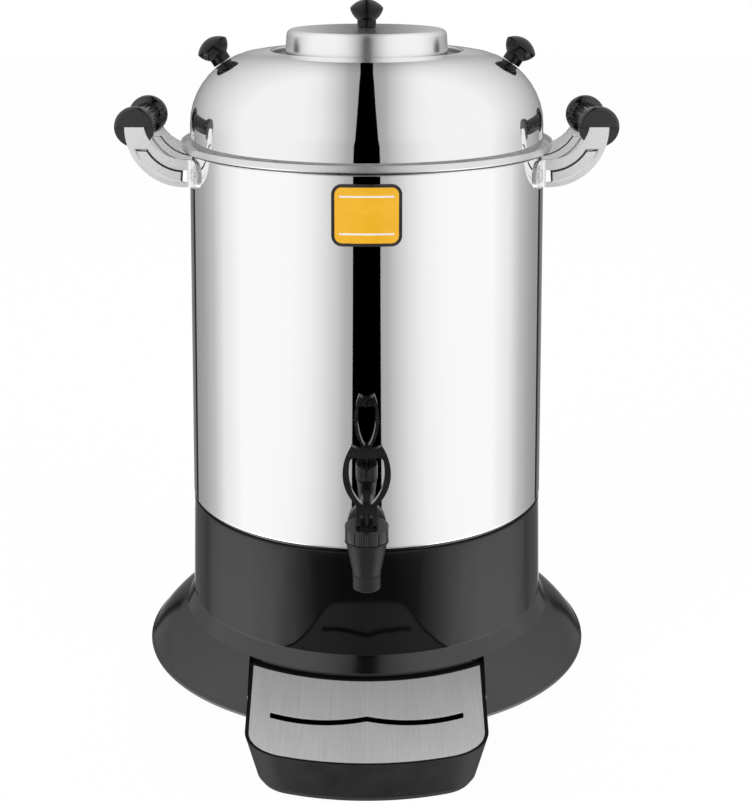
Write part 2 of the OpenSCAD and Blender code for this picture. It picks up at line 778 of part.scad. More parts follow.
// The foot lies on the shell, in front of the arm
module arm_foot() {
    intersection() {
        difference() {
            translate([0, 0, z_arm - 1]) cylinder(r = body_r + arm_t, h = arm_root_h + 2, $fn = fine);
            translate([0, 0, z_arm - 2]) cylinder(r = body_r, h = arm_root_h + 4, $fn = fine);
        }
        translate([0, 0, z_arm]) rotate([90, 0, 90]) mirror([1, 0, 0]) linear_extrude(2 * body_r) foot_outline();
    }
}

// The place of every rivet, with its axis along +Y of the child's frame
module rivet_places() {
    for (side = [-1, 1], end = [-1, 1], row = [-1, 1])
        rotate(end * asin(rivet_y / body_r) - side * 90)
            translate([0, 0, z_arm + arm_root_h / 2 + row * rivet_pitch / 2]) children();
}

module handle_arm() difference() {
    union() {
        difference() {
            union() {
                upright(-arm_y, arm_t) arm_outline();
                upright(-arm_y - arm_t, rib_h) rib_outline(0);
            }
            translate([0, 0, z_arm - 1]) cylinder(r = body_r, h = arm_root_h + 2, $fn = fine);
            upright(-arm_y + eps, rib_h) rib_outline(1);
            rib_slot();
        }
        arm_foot();
        translate([grip_x, 0, z_grip - arm_tip_w / 2]) tube_y(peg_d / 2, -arm_y, peg_len - arm_y);
    }
    rivet_places() tube_y(rivet_d / 2 + 0.05, body_r - 10, body_r + 10);
}

module handle_arm_left_front() color(polished) mirror([1, 0, 0]) handle_arm();
module handle_arm_left_rear() color(polished) mirror([1, 0, 0]) mirror([0, 1, 0]) handle_arm();
module handle_arm_right_front() color(polished) handle_arm();
module handle_arm_right_rear() color(polished) mirror([0, 1, 0]) handle_arm();

// A fluted spool; the lower half of each end face is set back for the arm
module handle_grip() translate([grip_x, 0, z_grip]) difference() {
    half = grip_len / 2;
    waist_r = grip_waist_d / 2;
    edge = 2.5;
    rotate([90, 0, 0]) rotate_extrude() polygon(concat(
        [[0, -half]],
        arc([grip_d / 2 - edge, edge - half], edge, -90, 0, 5),
        arc([grip_d / 2 - edge, grip_disc_t - edge - half], edge, 0, 90, 5),
        [[waist_r, grip_disc_t + 1 - half], [waist_r, half - grip_disc_t - 1]],
        arc([grip_d / 2 - edge, half - grip_disc_t + edge], edge, -90, 0, 5),
        arc([grip_d / 2 - edge, half - edge], edge, 0, 90, 5),
        [[0, half]]
    ));
    rotate([90, 0, 0]) ring_of(grip_flutes, waist_r + 0.4)
        translate([0, 0, grip_disc_t + 1 - half]) cylinder(r = 1.2, h = 2 * (half - grip_disc_t - 1), $fn = 24);
    for (end = [-1, 1]) mirror([0, end > 0 ? 1 : 0, 0]) {
        translate([-grip_d, -half - 1, -grip_d]) cube([2 * grip_d, arm_t + 1, grip_d]);
        translate([0, 0, -arm_tip_w / 2]) tube_y(peg_d / 2 + fit_gap, -half, peg_len + 1 - arm_y);
    }
}

module handle_grip_left() color(black) mirror([1, 0, 0]) handle_grip();
module handle_grip_right() color(black) handle_grip();

module handle_rivets() color(steel) rivet_places() {
    tube_y(rivet_d / 2, body_r - 2.2, body_r + arm_t + 0.5);
    tube_y(rivet_d * 0.85, body_r + arm_t, body_r + arm_t + 0.8);
    tube_y(rivet_d * 0.85, inner_r - 1.2, inner_r - 0.05);
}

// Tap, drawn about the shank's axis at z = 0

spout_y = -body_r - spout_reach;
shank_r = shank_d / 2;
spout_top_r = spout_top_d / 2;
outlet_r = outlet_d / 2;
z_outlet_top = outlet_h - spout_drop;
z_seat = -6;
chamber_r = 9;
flange_t = 3.2;
spout_lip_r = bonnet_d / 2 - 0.2;
spout_lip_t = 1.3;
thread_r = 13;
thread_h = 4.5;
cup_flange_r = 11.4;
cup_flange_t = 1.5;
shank_end = -(tank_r - sheet_t - gasket_t - lock_nut_t - 3);
wall_flat = -body_r - gasket_t;

module at_tap() {
    translate([0, 0, z_tap]) children();
}

module at_spout() {
    translate([0, spout_y, z_tap]) children();
}

module tap_body() color(black) difference() {
    union() {
        at_spout() rotate_extrude() polygon(concat(
            [[0, -spout_drop], [outlet_r - 0.8, -spout_drop], [outlet_r, 0.8 - spout_drop],
             [outlet_r, z_outlet_top - 0.5], [outlet_r - 0.5, z_outlet_top], [outlet_r, z_outlet_top + 0.5]],
            [[spout_top_r, bonnet_rise - flange_t], [spout_lip_r, bonnet_rise - spout_lip_t],
             [spout_lip_r, bonnet_rise - 0.3], [thread_r, bonnet_rise - 0.3],
             [thread_r, bonnet_rise + thread_h], [0, bonnet_rise + thread_h]]
        ));
        at_tap() tube_y(shank_r, spout_y, shank_end);
    }
    at_spout() {
        translate([0, 0, z_seat]) cylinder(r = chamber_r, h = 50);
        translate([0, 0, bonnet_rise + thread_h - cup_flange_t]) cylinder(r = cup_flange_r + fit_gap, h = 10);
        translate([0, 0, -spout_drop - 1]) cylinder(d = outlet_bore_d, h = spout_drop + z_seat - 2);
        translate([0, 0, z_seat - 4]) cylinder(d = outlet_bore_d - 3, h = 5);
    }
    at_tap() tube_y(passage_d / 2, spout_y, shank_end + 1);
}

// The collar bears on the outer gasket, whose back follows the shell
module tap_collar() color(black) at_tap() difference() {
    y0 = wall_flat - collar_t;
    rotate([-90, 0, 0]) rotate_extrude() polygon(concat(
        [[shank_r + 0.05, y0], [collar_d / 2 - 3, y0]],
        arc([collar_d / 2 - 3, y0 + 3], 3, -90, 0, 6),
        [[collar_d / 2, wall_flat], [shank_r + 0.05, wall_flat]]
    ));
}

module tap_outer_gasket() color(silicone) at_tap() difference() {
    tube_y(collar_d / 2 - 0.6, wall_flat, 4 - body_r);
    tube_y(shank_r + 0.05, wall_flat - 1, 5 - body_r);
    translate([0, 0, -collar_d]) cylinder(r = body_r, h = 2 * collar_d, $fn = fine);
}

module tap_spacer() color(steel) at_tap() intersection() {
    difference() {
        tube_y(shank_r + 3.5, -body_r, -tank_r + 4);
        tube_y(shank_r + 0.2, -body_r - 1, -tank_r + 5);
    }
    difference() {
        translate([0, 0, -collar_d]) cylinder(r = inner_r, h = 2 * collar_d, $fn = fine);
        translate([0, 0, -collar_d - 1]) cylinder(r = tank_r, h = 2 * collar_d + 2, $fn = fine);
    }
}

inner_wall_r = tank_r - sheet_t;
nut_face = gasket_t - inner_wall_r;

module tap_inner_gasket() color(silicone) at_tap() intersection() {
    difference() {
        tube_y(shank_r + 4.5, -inner_wall_r - 1, nut_face);
        tube_y(shank_r + 0.05, -inner_wall_r - 2, nut_face + 1);
    }
    translate([0, 0, -collar_d]) cylinder(r = inner_wall_r, h = 2 * collar_d, $fn = fine);
}

module tap_lock_nut() color(steel) at_tap() difference() {
    translate([0, nut_face, 0]) rotate([-90, 0, 0]) cylinder(r = shank_r + 5, h = lock_nut_t, $fn = 6);
    tube_y(shank_r + 0.02, nut_face - 1, nut_face + lock_nut_t + 1);
}

z_bonnet_top = bonnet_rise + bonnet_h;
flute_r = 1.7;
bonnet_edge = 0.6;

module tap_bonnet() color(black) at_spout() difference() {
    rotate_extrude() polygon(concat(
        [[0, bonnet_rise], [bonnet_d / 2 - bonnet_edge, bonnet_rise]],
        [[bonnet_d / 2, bonnet_rise + bonnet_edge]],
        arc([bonnet_d / 2 - 1, z_bonnet_top - 1], 1, 0, 90, 4),
        [[0, z_bonnet_top]]
    ));
    translate([0, 0, bonnet_rise - eps]) cylinder(r = thread_r + fit_gap, h = thread_h + eps);
    cylinder(r = stem_d / 2 + run_gap, h = 2 * z_bonnet_top);
    ring_of(bonnet_flutes, bonnet_d / 2 + flute_r - flute_depth)
        translate([0, 0, bonnet_rise - 1]) cylinder(r = flute_r, h = bonnet_h - 0.5);
}

z_pin = z_bonnet_top + pin_rise;
stem_foot = z_seat + 4;

module tap_stem() color(dark) at_spout() difference() {
    translate([0, 0, stem_foot]) cylinder(d = stem_d, h = z_pin + stem_d / 2 - stem_foot);
    translate([0, 0, z_pin]) rotate([0, 90, 0]) cylinder(r = pin_d / 2 + run_gap, h = 20, center = true);
}

// A silicone bell: its flange is clamped under the bonnet, its plug closes the seat
module tap_seat_cup() color(silicone) at_spout() rotate_extrude() {
    top = bonnet_rise + thread_h;
    plug_r = chamber_r - 1.6;
    polygon([
        [0, z_seat + 0.1], [plug_r, z_seat + 0.1], [plug_r, z_seat + 3], [plug_r - 1, z_seat + 6],
        [chamber_r - 0.6, top - cup_flange_t - 2], [chamber_r - 0.6, top - cup_flange_t + 0.05],
        [cup_flange_r, top - cup_flange_t + 0.05], [cup_flange_r, top], [chamber_r - 1.6, top],
        [chamber_r - 1.6, top - cup_flange_t - 2], [plug_r - 2.2, z_seat + 7.5],
        [stem_d / 2, z_seat + 7.5], [stem_d / 2, stem_foot], [0, stem_foot]
    ]);
}

// Lever, drawn about its pin
cam_r = pin_rise - 0.2;

module at_pin() {
    translate([0, spout_y, z_tap + z_pin]) children();
}

// The foot of a leg rises by cam_lift for each radian, so it rolls on the flat bonnet
module leg_outline() {
    cam = [for (a = [0:4:lever_travel + 4])
        let (h = cam_r + cam_lift * a * PI / 180)
        [-h * sin(a) - cam_lift * cos(a), -h * cos(a) + cam_lift * sin(a)]];
    polygon(concat(
        [[leg_back, fork_bridge_top], [leg_back, 1 - cam_r], [leg_back - 1, -cam_r]],
        cam,
        [[-leg_front - 2.2, 0], [-leg_front, 4], [-leg_front, fork_bridge_top]]
    ));
}

leg_back = 4;
leg_front = 6;
fork_bridge = 5.2;
fork_bridge_top = 9.4;

// Two side arcs that would meet below and above, with their widest place at loop_mid_h
module loop_lens(r, half_w) {
    intersection() {
        translate([half_w - r, loop_mid_h]) circle(r = r);
        translate([r - half_w, loop_mid_h]) circle(r = r);
    }
}

// The lower arcs up to the widest place, the flatter upper arcs above it
module loop_shape(low_r, high_r, half_w) {
    intersection() {
        loop_lens(low_r, half_w);
        translate([-loop_w, -loop_h]) square([2 * loop_w, loop_h + loop_mid_h + eps]);
    }
    intersection() {
        loop_lens(high_r, half_w);
        translate([-loop_w, loop_mid_h]) square([2 * loop_w, loop_h]);
    }
}

// The opening is flat above the fork, has a slightly sagging roof and round corners
module loop_opening() {
    roof_r = 60;
    roof_z = loop_h - loop_hollow_h - loop_top_w;
    offset(r = loop_corner_r) offset(delta = -loop_corner_r) difference() {
        loop_shape(loop_inner_r, 2 * loop_inner_r, loop_w / 2 - loop_bar_w);
        translate([0, roof_z + roof_r]) circle(r = roof_r);
        translate([-loop_h, 0]) square([2 * loop_h, fork_bridge_top + 0.8]);
    }
}

// The top is cut off by the hollow between the horns
module loop_outline() {
    difference() {
        loop_shape(loop_low_r, loop_high_r, loop_w / 2);
        loop_opening();
        translate([0, loop_h - loop_hollow_h + loop_hollow_r]) circle(r = loop_hollow_r);
        translate([-loop_h, loop_h]) square([2 * loop_h, loop_h]);
        translate([-loop_h, -loop_h]) square([2 * loop_h, loop_h + fork_bridge_top - 0.4]);
    }
}

// Two shallow round marks of the mould beside the bar
module loop_marks() {
    mark_x = loop_w / 2 - loop_bar_w - 1.8;
    mark_z = loop_h - loop_hollow_h - loop_top_w / 2 + 0.6;
    for (side = [-1, 1]) translate([side * mark_x, -loop_t / 2, mark_z]) tube_y(1.7, -1, 0.3);
}

module tap_lever() color(black) at_pin() difference() {
    union() {
        for (side = [-1, 1]) translate([side * (fork_w + fork_gap) / 4, 0, 0]) rotate([90, 0, 90])
            linear_extrude((fork_w - fork_gap) / 2, center = true) leg_outline();
        translate([-fork_w / 2, -leg_front, fork_bridge])
            cube([fork_w, leg_front + leg_back, fork_bridge_top - fork_bridge]);
        rotate([-lever_lean, 0, 0]) translate([0, loop_t / 2, 0]) rotate([90, 0, 0])
            linear_extrude(loop_t) loop_outline();
    }
    rotate([-lever_lean, 0, 0]) loop_marks();
    rotate([0, 90, 0]) cylinder(d = pin_d, h = 2 * fork_w, center = true);
}

module tap_lever_pin() color(steel) at_pin() rotate([0, 90, 0]) cylinder(d = pin_d, h = fork_w, center = true);

// Drip tray

// The tray's plan, moved out by o: straight tapering sides, round corners and a bowed front
function tray_plan(o) =
    let (
        side_dir = [-sin(tray_taper), -cos(tray_taper)],
        side_in = [-cos(tray_taper), sin(tray_taper)],
        back = [tray_w / 2, -sqrt(pow(tray_back_r, 2) - pow(tray_w / 2, 2))] - o * side_in,
        front_c = [0, tray_front_r - tray_front],
        corner_r = tray_corner_r + o,
        q = back + corner_r * side_in - front_c,
        along = sqrt(pow(q * side_dir, 2) - q * q + pow(tray_front_r - tray_corner_r, 2)) - q * side_dir,
        corner_c = back + corner_r * side_in + along * side_dir,
        front_a = angle_of(corner_c - front_c),
        right = concat(
            [back - side_dir * 30],
            arc(corner_c, corner_r, -tray_taper, front_a, 20),
            arc(front_c, tray_front_r + o, front_a, -90, 16)
        )
    )
    concat(right, [for (i = [len(right) - 2:-1:0]) [-right[i].x, right[i].y]]);

// A drafted block between two offsets of the plan
module tray_block(o_low, z_low, o_high, z_high) {
    hull() {
        translate([0, 0, z_low]) linear_extrude(0.01) polygon(tray_plan(o_low));
        translate([0, 0, z_high - 0.01]) linear_extrude(0.01) polygon(tray_plan(o_high));
    }
}

z_cover = tray_h - cover_sink - cover_t;

module behind(r) {
    translate([0, 0, -1]) cylinder(r = r, h = tray_h + 2);
}

module drip_tray() color(black) difference() {
    union() {
        tray_block(-tray_draft, 4, 0, tray_h);
        tray_block(-tray_draft - 3, 0, -tray_draft, 4);
    }
    behind(tray_back_r);
    difference() {
        tray_block(-tray_draft - tray_t, tray_floor_t, -tray_t, tray_h + 1);
        behind(tray_back_r + tray_t);
    }
    difference() {
        translate([0, 0, z_cover]) linear_extrude(tray_h) polygon(tray_plan(-tray_rim_w));
        behind(tray_back_r + tray_back_rim_w);
    }
}

// Middle line of the wavy slot: two shallow bows that meet in a low crest
function slot_line(x) = -slot_y + slot_wave * pow((abs(x) - slot_crest_x) / (slot_len / 2 - slot_crest_x), 2);

module wavy_slot() {
    xs = [for (i = [-12:12]) i * slot_len / 24];
    polygon(concat(
        [for (x = xs) [x, slot_line(x) - slot_w / 2]],
        reversed([for (x = xs) [x, slot_line(x) + slot_w / 2]])
    ));
}

module tray_cover() color(steel) translate([0, 0, z_cover + 0.1]) linear_extrude(cover_t) difference() {
    polygon(tray_plan(-tray_rim_w - cover_gap));
    circle(r = tray_back_r + tray_back_rim_w + cover_gap);
    wavy_slot();
}

// A plain plate with round corners that follows the shell
module front_plate() color("goldenrod") intersection() {
    translate([0, 0, z_ledge - plate_drop - plate_h]) difference() {
        cylinder(r = body_r + plate_t, h = 2 * plate_h, $fn = fine);
        translate([0, 0, -1]) cylinder(r = body_r, h = 2 * plate_h + 2, $fn = fine);
    }
    translate([0, 0, z_ledge - plate_drop]) rotate([90, 0, 0]) linear_extrude(2 * body_r) plate_outline();
}

module plate_outline() {
    corner_r = 8;
    square([plate_w - 2 * corner_r, plate_h], center = true);
    square([plate_w, plate_h - 2 * corner_r], center = true);
    for (x = [-1, 1], z = [-1, 1])
        translate([x * (plate_w / 2 - corner_r), z * (plate_h / 2 - corner_r)]) circle(r = corner_r);
}

base_skirt();
base_plate();
base_plate_screws();
rubber_feet();
foot_screws();
outer_shell();
inner_tank();
heat_spreader();
heating_element();
limit_thermostat();
tie_rods();
tie_rod_nuts();
thermostat();
thermostat_spindle();
thermostat_nut();
thermostat_knob();
pilot_lamp();
cord_gland();
dome_lid();
dome_knob_left();
dome_knob_right();
dome_knob_screws();
filler_lid();
filler_knob();
filler_knob_screw();
handle_arm_left_front();
handle_arm_left_rear();
handle_arm_right_front();
handle_arm_right_rear();
handle_grip_left();
handle_grip_right();
handle_rivets();
tap_body();
tap_collar();
tap_outer_gasket();
tap_spacer();
tap_inner_gasket();
tap_lock_nut();
tap_bonnet();
tap_stem();
tap_seat_cup();
tap_lever();
tap_lever_pin();
drip_tray();
tray_cover();
front_plate();
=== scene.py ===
import json
import math

import bmesh
import bpy
from mathutils import Matrix, Vector

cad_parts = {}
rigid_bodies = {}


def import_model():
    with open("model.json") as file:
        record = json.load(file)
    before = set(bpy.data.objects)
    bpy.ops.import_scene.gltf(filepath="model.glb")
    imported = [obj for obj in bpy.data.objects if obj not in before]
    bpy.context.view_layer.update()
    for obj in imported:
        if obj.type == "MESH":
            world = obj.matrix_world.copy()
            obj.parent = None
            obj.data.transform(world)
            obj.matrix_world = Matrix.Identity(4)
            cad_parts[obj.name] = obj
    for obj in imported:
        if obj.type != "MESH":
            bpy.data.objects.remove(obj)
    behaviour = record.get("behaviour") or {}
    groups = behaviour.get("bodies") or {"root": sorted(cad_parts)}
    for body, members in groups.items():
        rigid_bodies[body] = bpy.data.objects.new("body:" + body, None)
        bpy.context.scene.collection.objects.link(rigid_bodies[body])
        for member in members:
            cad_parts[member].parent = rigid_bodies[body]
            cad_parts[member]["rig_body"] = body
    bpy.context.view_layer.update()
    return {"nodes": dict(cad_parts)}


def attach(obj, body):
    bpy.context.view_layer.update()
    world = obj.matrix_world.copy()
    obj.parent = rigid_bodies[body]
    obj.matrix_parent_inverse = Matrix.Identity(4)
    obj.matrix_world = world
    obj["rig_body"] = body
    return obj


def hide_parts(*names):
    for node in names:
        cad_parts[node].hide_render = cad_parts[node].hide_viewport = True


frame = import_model()

# Camera: a long lens a little above the urn, tipped down by 7 degrees, with the view
# shifted down so that the upright sides stay nearly parallel, as in the photograph.
scene = bpy.context.scene
scene.view_settings.view_transform = "Standard"
photo_width, photo_height = 752, 801
focal_px = 1594.0
lens_centre = (366.7, 113.9)
camera_tip = math.radians(7.055)
camera_data = bpy.data.cameras.new("camera")
camera_data.sensor_fit = "HORIZONTAL"
camera_data.sensor_width = 36
camera_data.lens = camera_data.sensor_width * focal_px / photo_width
camera_data.shift_x = (photo_width / 2 - lens_centre[0]) / photo_width
camera_data.shift_y = (lens_centre[1] - photo_height / 2) / photo_width
camera = bpy.data.objects.new("camera", camera_data)
camera.location = (0, -1.3456, 0.628)
camera.rotation_euler = (math.pi / 2 - camera_tip, 0, 0)
scene.collection.objects.link(camera)
scene.camera = camera


# Studio: a pale floor that keeps a soft shadow, in an even white surround. Polished metal mirrors a
# graded sweep, seen only in reflections: white at the sides, grey behind, with one dark flag in front
# that narrows overhead. Its lower part, for the black base, is brighter at the sides and dark in front.
def add_node(tree, kind, *sources, **values):
    node = tree.nodes.new(kind)
    for key, value in values.items():
        if key.startswith("in_"):
            node.inputs[key[3:].replace("_", " ")].default_value = value
        else:
            setattr(node, key, value)
    for socket, source in zip(node.inputs, sources):
        if isinstance(source, (int, float)):
            socket.default_value = source
        elif source is not None:
            tree.links.new(source, socket)
    return node


def math_of(tree, operation, *sources):
    return add_node(tree, "ShaderNodeMath", *sources, operation=operation).outputs[0]


def ramp_of(tree, source, stops):
    ramp = add_node(tree, "ShaderNodeValToRGB", source)
    elements = ramp.color_ramp.elements
    for index, (place, tone) in enumerate(stops):
        stop = elements[index] if index < 2 else elements.new(place)
        stop.position = place
        stop.color = (*tone, 1) if isinstance(tone, tuple) else (tone, tone, tone, 1)
    return ramp.outputs[0]


def bare_tree(owner):
    owner.use_nodes = True
    owner.node_tree.nodes.clear()
    return owner.node_tree


def finished(bm, name, sharp=35.0):
    mesh = bpy.data.meshes.new(name)
    bm.to_mesh(mesh)
    bm.free()
    if "custom_normal" in mesh.attributes:
        mesh.attributes.remove(mesh.attributes["custom_normal"])
    mesh.shade_smooth()
    mesh.set_sharp_from_angle(angle=math.radians(sharp))
    piece = bpy.data.objects.new(name, mesh)
    scene.collection.objects.link(piece)
    piece.modifiers.new("flat_faces_stay_flat", "WEIGHTED_NORMAL").keep_sharp = True
    return piece


def shown_directly(tree):
    ray = add_node(tree, "ShaderNodeLightPath").outputs
    mirrored = math_of(tree, "MAXIMUM", ray["Is Glossy Ray"], ray["Is Transmission Ray"])
    return math_of(tree, "MAXIMUM", ray["Is Camera Ray"], mirrored)


scene.cycles.max_bounces = 24
scene.cycles.glossy_bounces = 16
surround = bpy.data.worlds.new("surround")
scene.world = surround
tree = bare_tree(surround)
level = add_node(tree, "ShaderNodeMapRange", shown_directly(tree), in_To_Min=0.5, in_To_Max=1.0)
light = add_node(tree, "ShaderNodeBackground", None, level.outputs[0], in_Color=(1, 1, 1, 1))
add_node(tree, "ShaderNodeOutputWorld", light.outputs[0])

bm = bmesh.new()
bmesh.ops.create_circle(bm, cap_ends=True, segments=96, radius=6.0)
floor = finished(bm, "floor")
floor_paint = bpy.data.materials.new("floor_paint")
tree = bare_tree(floor_paint)
share = math_of(tree, "MULTIPLY", shown_directly(tree), 0.97)
matt = add_node(tree, "ShaderNodeBsdfDiffuse", in_Color=(0.9, 0.9, 0.9, 1))
glow = add_node(tree, "ShaderNodeEmission", in_Color=(1, 1, 1, 1))
mixed = add_node(tree, "ShaderNodeMixShader", share, matt.outputs[0], glow.outputs[0])
add_node(tree, "ShaderNodeOutputMaterial", mixed.outputs[0])
floor.data.materials.append(floor_paint)
floor.visible_glossy = False

sweep_radius, sweep_height, sweep_strength, lower_gain = 1.4, 0.40, 1.07, 2.3
bm = bmesh.new()
bmesh.ops.create_uvsphere(bm, u_segments=96, v_segments=48, radius=sweep_radius)
bmesh.ops.translate(bm, verts=bm.verts, vec=(0, 0, sweep_height))
bmesh.ops.reverse_faces(bm, faces=bm.faces)
sweep = finished(bm, "studio_sweep", 180)
sweep_paint = bpy.data.materials.new("studio_sweep_paint")
tree = bare_tree(sweep_paint)
place = add_node(tree, "ShaderNodeTexCoord").outputs["Object"]
axes = add_node(tree, "ShaderNodeSeparateXYZ", place).outputs
side = math_of(tree, "ABSOLUTE", axes["X"])
ahead = math_of(tree, "MULTIPLY", axes["Y"], -1)
behind = math_of(tree, "DIVIDE", axes["Y"], sweep_radius)
rise = math_of(tree, "SUBTRACT", axes["Z"], sweep_height)
climb = math_of(tree, "DIVIDE", rise, sweep_radius)
around = math_of(tree, "DIVIDE", math_of(tree, "ARCTAN2", side, ahead), math.pi)
over = math_of(tree, "MULTIPLY_ADD", math_of(tree, "ARCTAN2", rise, ahead), 0.5 / math.pi, 0.5)
walls = ramp_of(tree, around, [
    (0.0, 1.0), (0.46, 1.0), (0.50, 0.91), (0.55, 0.83), (0.615, 0.54), (0.69, 0.38), (0.75, 0.32),
    (0.784, 0.31), (0.788, 0.02), (0.812, 0.02), (0.816, 0.14), (0.84, 0.18), (0.90, 0.26),
    (1.0, 0.32)])
fade = math_of(tree, "MULTIPLY", math_of(tree, "MULTIPLY_ADD", climb, -0.37, 0.64), behind)
crown = math_of(tree, "SUBTRACT", math_of(tree, "MULTIPLY_ADD", climb, 0.15, 0.845), fade)
far_glow = math_of(tree, "MULTIPLY", ramp_of(tree, around, [(0.93, 0.0), (0.97, 0.22)]),
                   ramp_of(tree, climb, [(0.05, 0.0), (0.12, 1.0), (0.24, 1.0), (0.32, 0.0)]))
crown = math_of(tree, "MINIMUM", math_of(tree, "ADD", crown, far_glow), 0.94)
is_crown = add_node(tree, "ShaderNodeMapRange", climb, in_From_Min=-0.118, in_From_Max=-0.111)
flag_width = ramp_of(tree, over, [
    (0.0, 0.010), (0.20, 0.010), (0.26, 0.193), (0.4825, 0.193), (0.51, 0.166), (0.577, 0.139),
    (0.673, 0.095), (0.80, 0.043), (0.92, 0.014), (1.0, 0.011)])
shade_width = ramp_of(tree, over, [
    (0.0, 0.05), (0.20, 0.05), (0.26, 0.37), (0.48, 0.37), (0.52, 0.325), (0.647, 0.274),
    (0.70, 0.237), (0.762, 0.186), (0.848, 0.109), (0.92, 0.066), (1.0, 0.05)])
shade_reach = math_of(tree, "DIVIDE", side, math_of(tree, "MULTIPLY", shade_width, 3.0))
shade = ramp_of(tree, shade_reach, [
    (0.0, 0.38), (0.167, 0.40), (0.267, 0.46), (0.333, 0.56), (0.51, 0.76), (0.687, 0.915),
    (0.867, 0.98), (1.0, 1.0)])
past_flag = math_of(tree, "GREATER_THAN", side, flag_width)
upper = add_node(tree, "ShaderNodeMix", is_crown.outputs[0], None, walls, crown).outputs[0]
upper = math_of(tree, "MULTIPLY", upper, math_of(tree, "MULTIPLY", shade, past_flag))
lower = ramp_of(tree, around, [
    (0.0, 0.01), (0.08, 0.02), (0.16, 0.095), (0.245, 0.50), (0.333, 1.0), (0.42, 0.98), (0.533, 0.62),
    (0.68, 0.125), (0.85, 0.08), (0.93, 0.50), (1.0, 1.0)])
lower = math_of(tree, "MULTIPLY", lower, lower_gain)
is_upper = add_node(tree, "ShaderNodeMapRange", climb, in_From_Min=-0.504, in_From_Max=-0.500)
tone = add_node(tree, "ShaderNodeMix", is_upper.outputs[0], None, lower, upper)
glow = add_node(tree, "ShaderNodeEmission", tone.outputs[0], sweep_strength)
add_node(tree, "ShaderNodeOutputMaterial", glow.outputs[0])
sweep.data.materials.append(sweep_paint)
sweep.visible_camera = False
sweep.visible_diffuse = False
sweep.visible_transmission = False
sweep.visible_shadow = False

lit_spot = Vector((0, 0, 0.25))
for name, spot, power, size in (
        ("key_lamp", (-1.6, -1.8, 2.2), 42, 1.6),
        ("fill_lamp", (1.8, -1.6, 1.8), 26, 1.6),
        ("back_lamp", (0, 1.8, 2.4), 24, 1.8)):
    lamp_data = bpy.data.lights.new(name, "AREA")
    lamp_data.energy = power
    lamp_data.size = size
    lamp = bpy.data.objects.new(name, lamp_data)
    lamp.location = spot
    lamp.rotation_euler = (lit_spot - Vector(spot)).to_track_quat("-Z", "Y").to_euler()
    lamp.visible_glossy = False
    scene.collection.objects.link(lamp)


# Base skirt: one glossy black moulding, with an upright band, a shoulder and a flared brim that
# ends in a bead. It carries the shell on its spigot and is cut open in front for the drip tray.
# A plain scale is printed round the dial at the back. Below the band the surface is softer.
MM = 0.001


def finish_of(name, dark_tone, light_tone, rough, metal=0.0, scale=40.0, stretch=(1, 1, 1), bump=0.05,
              ior=1.5, rough_spread=0.06, grain_scale=12.0):
    paint = bpy.data.materials.new(name)
    paint.use_nodes = True
    tree = paint.node_tree
    shader = tree.nodes["Principled BSDF"]
    shader.inputs["Metallic"].default_value = metal
    shader.inputs["IOR"].default_value = ior
    place = add_node(tree, "ShaderNodeTexCoord").outputs["Object"]
    lay = add_node(tree, "ShaderNodeMapping", place, in_Scale=stretch).outputs[0]
    mottle = add_node(tree, "ShaderNodeTexNoise", lay, in_Scale=scale, in_Detail=4.0).outputs[0]
    tones = ramp_of(tree, mottle, [(0.3, dark_tone), (0.7, light_tone)])
    wear = add_node(tree, "ShaderNodeMapRange", mottle, in_From_Min=0.3, in_From_Max=0.7,
                    in_To_Min=max(rough - rough_spread, 0.02), in_To_Max=rough + rough_spread)
    tree.links.new(tones, shader.inputs["Base Color"])
    tree.links.new(wear.outputs[0], shader.inputs["Roughness"])
    if bump:
        grain = add_node(tree, "ShaderNodeTexNoise", lay, in_Scale=scale * grain_scale, in_Detail=3.0)
        relief = add_node(tree, "ShaderNodeBump", in_Strength=bump, in_Distance=0.0002)
        tree.links.new(grain.outputs[0], relief.inputs["Height"])
        tree.links.new(relief.outputs[0], shader.inputs["Normal"])
    return paint


def stands_for(piece, paint, *nodes):
    piece.data.materials.append(paint)
    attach(piece, frame["nodes"][nodes[0]]["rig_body"])
    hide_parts(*nodes)
    return piece


def dressed(node, paint, ease=0.0, sharp=35.0, marks=()):
    bm = bmesh.new()
    bm.from_mesh(frame["nodes"][node].data)
    bmesh.ops.remove_doubles(bm, verts=bm.verts, dist=2e-6)
    if ease:
        bmesh.ops.dissolve_limit(bm, angle_limit=math.radians(0.5), verts=bm.verts, edges=bm.edges)
        corners = [e for e in bm.edges if e.is_manifold and e.calc_face_angle(0) > math.radians(sharp)]
        bmesh.ops.bevel(bm, geom=corners, affect="EDGES", offset=ease, segments=2, profile=0.5,
                        material=-1, clamp_overlap=True)
    for mark in marks:
        made = bmesh.ops.create_cube(bm, size=MM, matrix=mark)["verts"]
        for face in {face for vert in made for face in vert.link_faces}:
            face.material_index = 1
    return stands_for(finished(bm, node + "_look", sharp), paint, node)


pale_print = finish_of("pale_print", (0.72, 0.71, 0.68), (0.80, 0.79, 0.76), 0.5, scale=90)
dial_z, band_foot, band_foot_r, band_draft = 95, 50, 151, 1.4 / 86
tick_ring_r, tick_turn, tick_w, tick_relief, long_tick, short_tick = 27, 27, 0.9, 0.2, 6, 3.5
scale_marks = []
for step in range(11):
    turn = math.radians(tick_turn * step)
    tick_x, tick_z = tick_ring_r * math.sin(turn), dial_z + tick_ring_r * math.cos(turn)
    band_r = band_foot_r - (tick_z - band_foot) * band_draft
    tick_y = math.sqrt(band_r ** 2 - tick_x ** 2)
    tick_size = Matrix.Diagonal((tick_w, tick_relief, short_tick if step % 5 else long_tick, 1))
    scale_marks.append(Matrix.Translation(Vector((tick_x, tick_y, tick_z)) * MM)
                       @ Matrix.Rotation(-math.asin(tick_x / band_r), 4, "Z")
                       @ Matrix.Rotation(turn, 4, "Y") @ tick_size)
brim_ior, band_ior = 1.7, 1.35
